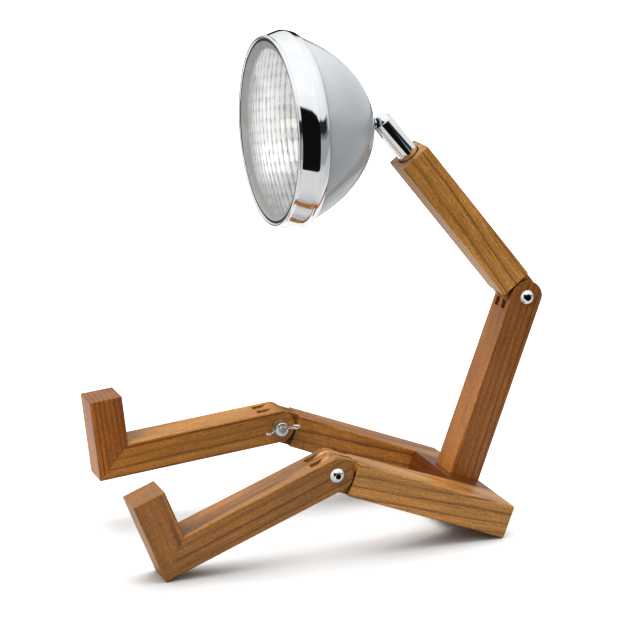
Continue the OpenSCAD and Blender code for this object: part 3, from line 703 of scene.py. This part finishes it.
plate_back = mirror_back(NECK_R) + 1.0
HOLDER_R, HOLDER_LEN, CAPSULE_R, CAPSULE_LEN = 10.0, 17.0, 7.5, 26.0
holder_front = plate_back - HOLDER_LEN
bm = bmesh.new()
spin(bm, outline(bm, [
    (0, plate_back), (HOLDER_R, plate_back), (HOLDER_R, holder_front + 6),
    (HOLDER_R - 0.7, holder_front + 5), (HOLDER_R - 0.7, holder_front),
    (CAPSULE_R + 0.3, holder_front), (CAPSULE_R + 0.3, holder_front + 6),
    (0, holder_front + 6),
]), steps=64)
soften(bm, 0.3)
finish_piece(bm, "holder_body", bezel_frame, "head", white_ceramic, ["lamp_holder"])
capsule_tip = holder_front + 6 - CAPSULE_LEN
bm = bmesh.new()
spin(bm, outline(bm, [(0, holder_front + 6), (CAPSULE_R, holder_front + 6), (CAPSULE_R, capsule_tip + 2)]
                 + arc((0, capsule_tip), CAPSULE_R, 0, -90, 12)), steps=48)
finish_piece(bm, "capsule_cover", bezel_frame, "head", frosted_cover, ["led_capsule"])

# %% [markdown]
# ## Neck tube and ball
#
# The tube keeps the exact slotted shape of its node. Its rim is rolled in over the ball, so its edges
# get a wide bevel. The ball and its threaded stem are one turned stud.

# %% Tube, ball and washer
bm = merged_copy("neck_tube")
soften(bm, 0.3, segments=3)
finish_piece(
    bm, "chrome_tube", Matrix.Scale(MM, 4), "socket", bright_chrome, ["neck_tube"], 32
)

BALL_R, STEM_R, STEM_END = 6.9, 3.0, POLE + 9
start = math.degrees(math.asin(STEM_R / BALL_R))
bm = bmesh.new()
spin(bm, outline(bm, arc((0, 0), BALL_R, -90, 90 - start, 40)
                 + [(STEM_R, STEM_END - 0.5), (STEM_R - 0.5, STEM_END), (0, STEM_END)]), steps=64)
finish_piece(bm, "ball_and_stem", head_frame, "head", bright_chrome, ["ball_stud"])

bm = bmesh.new()
spin(bm, outline(bm, [(STEM_R, POLE - 2), (7, POLE - 2), (7, POLE), (STEM_R, POLE)], closed=True), steps=64)
soften(bm, 0.5)
finish_piece(bm, "ball_washer", head_frame, "head", black_rubber, ["stud_washer"])

# %% [markdown]
# ## Bolts, washers and wing nuts
#
# Each finger joint is clamped by a button head bolt with a hexagon socket, a plain washer and a wing
# nut. The head is a lathe whose flat top is bridged to a six-sided well. Each wing starts as one flat
# face that is given its thickness, a raised rim and round edges.

# %% One bolt head, one washer and one wing nut
BOLT_R, HEAD_R, HEAD_H, HEAD_SKIRT, TOP_R = 3.0, 5.5, 3.3, 0.6, 2.75
SOCKET_R, SOCKET_FLOOR = 4.0 / math.sqrt(3), 1.0  # a 4 mm key
BOLT_TIP = 0.6
WASHER_T, NUT_H, HUB_R, BOLT_END = 1.2, 6.5, 5.2, 1.6
NUT_GAP = 0.03  # the wing nut turns clear of its washer
WING_SPAN, WING_T, WING_TIP_R, WING_RISE = 28.0, 2.0, 3.1, 3.6
ROUND = 48


def button_bolt():
    """The head stands on z = 0 and the shank runs down."""
    bm = bmesh.new()
    rise = HEAD_H - HEAD_SKIRT
    crown_r = (HEAD_R**2 + rise**2) / (2 * rise)
    edge_turn = math.degrees(math.acos(HEAD_R / crown_r))
    top_turn = math.degrees(math.acos(TOP_R / crown_r))
    crown = arc((0, HEAD_H - crown_r), crown_r, edge_turn, top_turn, 10)
    shank_end = -(BAR_W + WASHER_T + NUT_H + BOLT_END)
    shank = [(0, shank_end), (BOLT_R - BOLT_TIP, shank_end), (BOLT_R, shank_end + BOLT_TIP), (BOLT_R, 0)]
    spin(bm, outline(bm, shank + [(HEAD_R, 0)] + crown), steps=ROUND)
    top = max(v.co.z for v in bm.verts)
    rim = [e for e in bm.edges if len(e.link_faces) == 1]
    hexagon = bmesh.ops.create_circle(
        bm, segments=6, radius=SOCKET_R, matrix=Matrix.Translation((0, 0, top))
    )["verts"]
    sides = list({e for v in hexagon for e in v.link_edges})
    bmesh.ops.subdivide_edges(bm, edges=sides, cuts=ROUND // 6 - 1)
    loop = [e for e in bm.edges if not e.link_faces]
    bmesh.ops.bridge_loops(bm, edges=rim + loop)
    well = bmesh.ops.extrude_edge_only(bm, edges=loop)["geom"]
    floor_verts = [g for g in well if isinstance(g, bmesh.types.BMVert)]
    bmesh.ops.translate(bm, vec=(0, 0, SOCKET_FLOOR - top), verts=floor_verts)
    rim_edges = [g for g in well if isinstance(g, bmesh.types.BMEdge) and len(g.link_faces) == 1]
    bmesh.ops.contextual_create(bm, geom=rim_edges)
    bmesh.ops.recalc_face_normals(bm, faces=bm.faces[:])
    for face in bm.faces:
        middle = face.calc_center_median()
        within = math.hypot(middle.x, middle.y) < SOCKET_R + 0.1
        in_socket = within and SOCKET_FLOOR - 0.1 < middle.z < top - 0.1
        cut_end = middle.z < shank_end + BOLT_TIP + 0.1
        face.material_index = 1 if in_socket else 2 * cut_end
    return bm


def plain_washer():
    bm = bmesh.new()
    hole = BOLT_R + 0.2
    spin(bm, outline(bm, [(hole, 0), (6, 0), (6, WASHER_T), (hole, WASHER_T)], closed=True), steps=ROUND)
    soften(bm, 0.2, segments=2)
    return bm


def wing(bm, side):
    """One wing: a flat blade that rises from the hub, with a raised rim and round edges."""
    tip_x = WING_SPAN / 2 - WING_TIP_R
    tip_z = NUT_H + WING_RISE - WING_TIP_R
    blade = [(HUB_R - 1.2, 0.9), (7.5, 1.2)] + arc((tip_x, tip_z), WING_TIP_R, -60, 115, 10)
    blade += [(7.2, NUT_H - 0.5), (HUB_R - 1.2, NUT_H - 0.4)]
    verts = [bm.verts.new((side * x, -WING_T / 2, z)) for x, z in blade]
    face = bm.faces.new(verts)
    grown = bmesh.ops.extrude_face_region(bm, geom=[face])["geom"]
    far_verts = [g for g in grown if isinstance(g, bmesh.types.BMVert)]
    bmesh.ops.translate(bm, vec=(0, WING_T, 0), verts=far_verts)
    cheeks = [face] + [g for g in grown if isinstance(g, bmesh.types.BMFace)]
    bmesh.ops.recalc_face_normals(bm, faces=[f for f in bm.faces if f.is_valid])
    bmesh.ops.inset_region(bm, faces=cheeks, thickness=1.0, depth=-0.45, use_even_offset=True)


def wing_nut():
    """The hub stands on z = 0, with one wing to +X and one to -X."""
    bm = bmesh.new()
    for side in (-1, 1):
        wing(bm, side)
    soften(bm, 0.45, segments=3, angle=50)
    hub = bmesh.new()
    bore = BOLT_R + 0.05
    spin(hub, outline(hub, [(bore, NUT_GAP), (HUB_R + 0.5, NUT_GAP), (HUB_R, NUT_H), (bore + 0.5, NUT_H),
                            (bore, NUT_H - 0.5)], closed=True), steps=ROUND)
    soften(hub, 0.6, segments=3, angle=50)
    mesh = bpy.data.meshes.new("hub_part")
    hub.to_mesh(mesh)
    hub.free()
    bm.from_mesh(mesh)
    bpy.data.meshes.remove(mesh)
    return bm


# %% Fit the three hinges
def on_side(side):
    """Looks out of a joint's cheek: +Z along the world's X, to the lamp's left for side 1."""
    return Matrix.Rotation(side * math.pi / 2, 4, "Y")


hinges = {
    # name: bolt's side, frame, body of the bolt, body of the nut, how far the wings are turned
    "shoulder": (1, frame_at(SHOULDER, -SEAT_TIP), "base", "shoulder_nut", 105),
    "knee_left": (1, frame_at(knees["left"], SHIN_TURN["left"]), "leg_left", "knee_nut_left", 90),
    "knee_right": (-1, frame_at(knees["right"], SHIN_TURN["right"]), "leg_right", "knee_nut_right", 90),
}
for name, (side, place, body, nut_body, wing_turn) in hinges.items():
    part, *which = name.split("_")
    cheek = Matrix.Translation((side * BAR_W / 2, 0, 0)) @ on_side(side)
    bolt = finish_piece(
        button_bolt(), name + "_button_bolt", place @ cheek, body, bright_chrome,
        ["_".join([part, "bolt", *which])],
    )
    bolt.data.materials.append(dark_steel)  # plating doesn't reach into the socket; the dark steel there also paints the shade deep in the well
    bolt.data.materials.append(zinc_plate)  # the cut end of the thread
    other = Matrix.Translation((-side * BAR_W / 2, 0, 0)) @ on_side(-side)
    finish_piece(
        plain_washer(), name + "_plain_washer", place @ other, body, zinc_plate,
        ["_".join([part, "washer", *which])],
    )
    nut = (
        Matrix.Rotation(math.radians(wing_turn), 4, "X")
        @ Matrix.Translation((-side * (BAR_W / 2 + WASHER_T), 0, 0))
        @ on_side(-side)
        @ Matrix.Rotation(math.pi / 2, 4, "Z")
    )
    finish_piece(
        wing_nut(), name + "_cast_wing_nut", place @ nut, nut_body, bright_chrome,
        ["_".join([part, "wing_nut", *which])],
    )

# %% [markdown]
# ## Cord inlet
#
# The cord enters the bowl through a rubber grommet at the back, on the lamp's right side. It is a
# turned ring with a groove that grips the edge of the hole.

# %% Grommet
GROMMET_DEPTH, GROMMET_TURN, CORD_D, GROMMET_HOLE = 5.6, 200.0, 5.6, 5.0
slope = math.atan2(bowl_radius(GROMMET_DEPTH + 0.5) - bowl_radius(GROMMET_DEPTH - 0.5), 1)
grommet_frame = (
    head_frame
    @ Matrix.Rotation(math.radians(GROMMET_TURN), 4, "Z")
    @ Matrix.Translation((bowl_radius(GROMMET_DEPTH), 0, POLE + GROMMET_DEPTH))
    @ Matrix.Rotation(math.pi / 2 + slope, 4, "Y")
)
bm = bmesh.new()
spin(bm, outline(bm, [
    (CORD_D / 2, -3.2), (6.6, -3.2), (6.6, -1.9), (GROMMET_HOLE - 0.3, -1.9), (GROMMET_HOLE - 0.3, 0.9),
    (7, 0.9), (6.2, 2.6), (CORD_D / 2, 2.6),
], closed=True), steps=ROUND)
soften(bm, 0.35)
finish_piece(bm, "rubber_grommet", grommet_frame, "head", black_rubber, ["cord_grommet"])

# %% [markdown]
# ## Pieces that keep their node
#
# The hidden pieces have the right shape already: dowels, screws, springs, clips and gaskets. They keep
# their nodes and get the finish of what they are made of.

# %% Finish the carried-over nodes
finishes = {
    beech: ["seat_dowels", "spine_dowels", "foot_dowels_left", "foot_dowels_right"],
    zinc_plate: [
        "spine_screw", "seat_springs", "stud_backing_washer", "stud_nut", "bezel_clips", "holder_plate",
    ],
    black_nylon: ["neck_bush"],
    black_rubber: ["lens_gasket"],
    dark_steel: ["neck_lock_screw"],
    ivory_nylon: ["ball_seat"],
    turned_brass: ["tube_plug"],
}
for finish, names in finishes.items():
    for name in names:
        mesh = frame["nodes"][name].data
        mesh.materials.clear()
        mesh.materials.append(finish)
print("kept nodes", sum(len(names) for names in finishes.values()))

# %% [markdown]
# ## The studio
#
# Chrome shows the room, so the room is part of the finish. It is white, with dark zones at both sides and
# at the back on the left, up to about 37 degrees above the horizon. Behind the lamp it is grey below the
# horizon. The dark zones give the chrome its black reflections and dark edges. The camera itself sees
# plain white behind the lamp instead of all this.

# %% Room: directions are azimuths from the front of the lamp, turning to its left, in degrees
dark_sides = [
    # from, to, how softly it starts and ends, lowest, highest at its start, fall per degree, brightness
    (112, 205, 4, 25, -90, 0.0, 0.0, 0.36),
    (112, 168, 4, 14, -2, 16.5, 0.1, 0.03),
    (49, 118, 2, 3, -90, 37.0, 0.33, 0.008),
    (241, 264, 3, 4, -90, 26.0, 0.75, 0.02),
]
TOP_SOFT, FOOT_SOFT = 2.0, 5.0
ROOM_LOW, ROOM_HIGH = 0.72, 0.96  # brightness near the horizon and overhead
BACKDROP = 1.3  # what the camera sees behind the lamp: plain white
world = bpy.data.worlds.new("white_studio")
bpy.context.scene.world = world
world.use_nodes = True
tree = world.node_tree
tree.nodes.clear()
look = add(tree, "ShaderNodeTexCoord").outputs["Generated"]
parts = add(tree, "ShaderNodeSeparateXYZ", Vector=look).outputs
ahead = add(tree, "ShaderNodeMath", {"operation": "MULTIPLY"}, i0=parts["Y"], i1=-1.0).outputs["Value"]
half_turn = add(tree, "ShaderNodeMath", {"operation": "ARCTAN2"}, i0=parts["X"], i1=ahead).outputs["Value"]
right_side = add(tree, "ShaderNodeMath", {"operation": "LESS_THAN"}, i0=half_turn, i1=0.0).outputs["Value"]
azimuth = add(
    tree, "ShaderNodeMath", {"operation": "MULTIPLY_ADD"}, i0=right_side, i1=TAU, i2=half_turn
).outputs["Value"]
climb = add(tree, "ShaderNodeMath", {"operation": "ARCSINE"}, i0=parts["Z"]).outputs["Value"]
room = add(
    tree, "ShaderNodeMapRange", {"interpolation_type": "SMOOTHSTEP"}, Value=parts["Z"],
    From_Min=0.1, From_Max=0.9, To_Min=ROOM_LOW, To_Max=ROOM_HIGH,
).outputs["Result"]
for start, end, start_soft, end_soft, foot, top, fall, brightness in dark_sides:
    along = add(
        tree, "ShaderNodeMath", {"operation": "SUBTRACT"}, i0=azimuth, i1=math.radians(start)
    ).outputs["Value"]
    levelled = add(
        tree, "ShaderNodeMath", {"operation": "MULTIPLY_ADD"}, i0=along, i1=fall, i2=climb
    ).outputs["Value"]
    share = 1.0
    for value, inside, outside in (
        (azimuth, start + start_soft, start - start_soft),
        (azimuth, end - end_soft, end + end_soft),
        (levelled, top - TOP_SOFT, top + TOP_SOFT),
        (climb, foot + FOOT_SOFT, foot - FOOT_SOFT),
    ):
        fade = add(
            tree, "ShaderNodeMapRange", {"interpolation_type": "SMOOTHSTEP"}, Value=value,
            From_Min=math.radians(inside), From_Max=math.radians(outside), To_Min=1.0, To_Max=0.0,
        ).outputs["Result"]
        share = add(tree, "ShaderNodeMath", {"operation": "MULTIPLY"}, i0=fade, i1=share).outputs["Value"]
    room = add(
        tree, "ShaderNodeMix", {"data_type": "RGBA"}, i0=share, i6=room, i7=grey(brightness)
    ).outputs[2]
direct = add(tree, "ShaderNodeLightPath").outputs["Is Camera Ray"]
seen = add(tree, "ShaderNodeMix", {"data_type": "RGBA"}, i0=direct, i6=room, i7=grey(BACKDROP)).outputs[2]
light = add(tree, "ShaderNodeBackground", Color=seen, Strength=1.0)
add(tree, "ShaderNodeOutputWorld", Surface=light.outputs[0])

# %% [markdown]
# ## The paper
#
# The lamp sits on white paper, which is not the same for every ray. The camera sees it white. What the
# chrome and the wood pick up is greyer, and greyer still far off on the lamp's right and behind it,
# where that falloff is painted shade for paper that lies outside the lamps.

# %% Paper floor
PAPER_EDGE, PAPER_FAR = 0.415, 4.0
PAPER_DULL, PAPER_WHITE = 0.64, 0.66
FAR_LIFT = 2.6  # makes up for the light that the far end of the paper lacks
bm = bmesh.new()
bmesh.ops.create_grid(bm, x_segments=1, y_segments=1, size=1.0)
bmesh.ops.scale(bm, vec=((PAPER_EDGE + PAPER_FAR) / 2, PAPER_FAR, 1), verts=bm.verts[:])
bmesh.ops.translate(bm, vec=((PAPER_EDGE - PAPER_FAR) / 2, 0, -0.0003), verts=bm.verts[:])
mesh = bpy.data.meshes.new("paper_floor")
bm.to_mesh(mesh)
bm.free()
paper, tree = new_finish("white_paper")
where = add(tree, "ShaderNodeTexCoord").outputs["Object"]
tooth = add(tree, "ShaderNodeTexNoise", Vector=where, Scale=1 / (2 * MM), Detail=2.0)
white = add(
    tree, "ShaderNodeValToRGB", stops=[(0.3, grey(PAPER_DULL)), (0.7, grey(PAPER_WHITE))],
    Fac=tooth.outputs["Fac"],
).outputs["Color"]
at = add(tree, "ShaderNodeSeparateXYZ", Vector=where).outputs
bounce = 1.0
for axis, start, end, before, after in (
    ("X", -0.02, 0.14, 0.44, 0.36),  # a little greyer on the lamp's left
    ("X", -0.6, -0.36, 0.25, 1.0),  # far off on its right
    ("Y", 0.0, 0.6, 1.0, 0.7),  # behind it
):
    step = add(
        tree, "ShaderNodeMapRange", {"interpolation_type": "SMOOTHSTEP"}, Value=at[axis],
        From_Min=start, From_Max=end, To_Min=before, To_Max=after,
    ).outputs["Result"]
    bounce = add(tree, "ShaderNodeMath", {"operation": "MULTIPLY"}, i0=step, i1=bounce).outputs["Value"]
even = add(
    tree, "ShaderNodeMapRange", Value=at["X"], From_Min=-2.0, From_Max=-0.2, To_Min=FAR_LIFT, To_Max=1.0,
).outputs["Result"]
evened = add(tree, "ShaderNodeVectorMath", {"operation": "SCALE"}, i0=white, Scale=even).outputs["Vector"]
to_camera = add(tree, "ShaderNodeLightPath").outputs["Is Camera Ray"]
tone = add(tree, "ShaderNodeMix", {"data_type": "RGBA"}, i0=to_camera, i6=bounce, i7=evened).outputs[2]
matt = add(tree, "ShaderNodeBsdfPrincipled", Base_Color=tone, Roughness=0.9).outputs["BSDF"]
add(tree, "ShaderNodeOutputMaterial", Surface=matt)
mesh.materials.append(paper)
floor = bpy.data.objects.new("paper_floor", mesh)
bpy.context.scene.collection.objects.link(floor)

# %% [markdown]
# ## Lamps of the studio
#
# A large soft lamp stands high in front and a narrow one is aimed at the back of the head. The paper has
# a wide lamp of its own, so that the shadows on it are soft. Light linking keeps them apart: each lamp has
# a collection that holds only the floor, as the one thing that it lights or the one thing that it skips.

# %% Three lamps
lamps = {
    # name: kind, place, aim, watts, settings, whether it lights only the paper or all but the paper
    "front_softbox": (
        "AREA", (0.55, -1.45, 1.65), (0, 0, 0.1), 48, {"shape": "SQUARE", "size": 1.5}, False,
    ),
    "head_spot": (
        "SPOT", (0.3, 0.45, 1.2), (0, -0.12, 0.305), 8.5,
        {"spot_size": math.radians(11), "spot_blend": 0.6, "shadow_soft_size": 0.12}, False,
    ),
    "paper_light": ("AREA", (-0.4, 0.3, 1.5), (0, 0, 0), 50, {"shape": "SQUARE", "size": 2.2}, True),
}
for name, (kind, place, aim, watts, settings, on_paper) in lamps.items():
    data = bpy.data.lights.new(name, kind)
    data.energy = watts
    for key, value in settings.items():
        setattr(data, key, value)
    lamp = bpy.data.objects.new(name, data)
    lamp.location = place
    lamp.rotation_mode = "QUATERNION"
    lamp.rotation_quaternion = (Vector(aim) - Vector(place)).to_track_quat("-Z", "Y")
    lamp.visible_glossy = False  # chrome should show the room, not the lamps
    lit = bpy.data.collections.new(name + "_reach")
    lit.objects.link(floor)
    lit.collection_objects[0].light_linking.link_state = "INCLUDE" if on_paper else "EXCLUDE"
    lamp.light_linking.receiver_collection = lit
    bpy.context.scene.collection.objects.link(lamp)
print("lamps", list(lamps))
bpy.context.scene.view_settings.view_transform = "Standard"
bpy.context.scene.view_settings.look = "Medium High Contrast"

# %% [markdown]
# ## The camera
#
# A long lens, nearly two metres away and a little above the head, sees the lamp from its left front.
# A long lens keeps the bars almost parallel, as in a catalogue.

# %% Camera
CAMERA_AT = Vector((1.7187, -0.6140, 0.6323))
CAMERA_AZIMUTH, CAMERA_DROP, CAMERA_ROLL = 70.60, 14.37, -0.62
LENS_MM, SENSOR_MM, FAR_CLIP = 147.44, 36, 50
a, e = math.radians(CAMERA_AZIMUTH), math.radians(CAMERA_DROP)
view = Vector((-math.sin(a) * math.cos(e), math.cos(a) * math.cos(e), -math.sin(e)))
camera = bpy.data.objects.new("camera", bpy.data.cameras.new("camera"))
camera.data.lens = LENS_MM
camera.data.sensor_width = SENSOR_MM
camera.data.clip_end = FAR_CLIP
camera.location = CAMERA_AT
camera.rotation_mode = "QUATERNION"
roll = Matrix.Rotation(math.radians(CAMERA_ROLL), 3, "Z").to_quaternion()
camera.rotation_quaternion = view.to_track_quat("-Z", "Y") @ roll
bpy.context.scene.collection.objects.link(camera)
bpy.context.scene.camera = camera
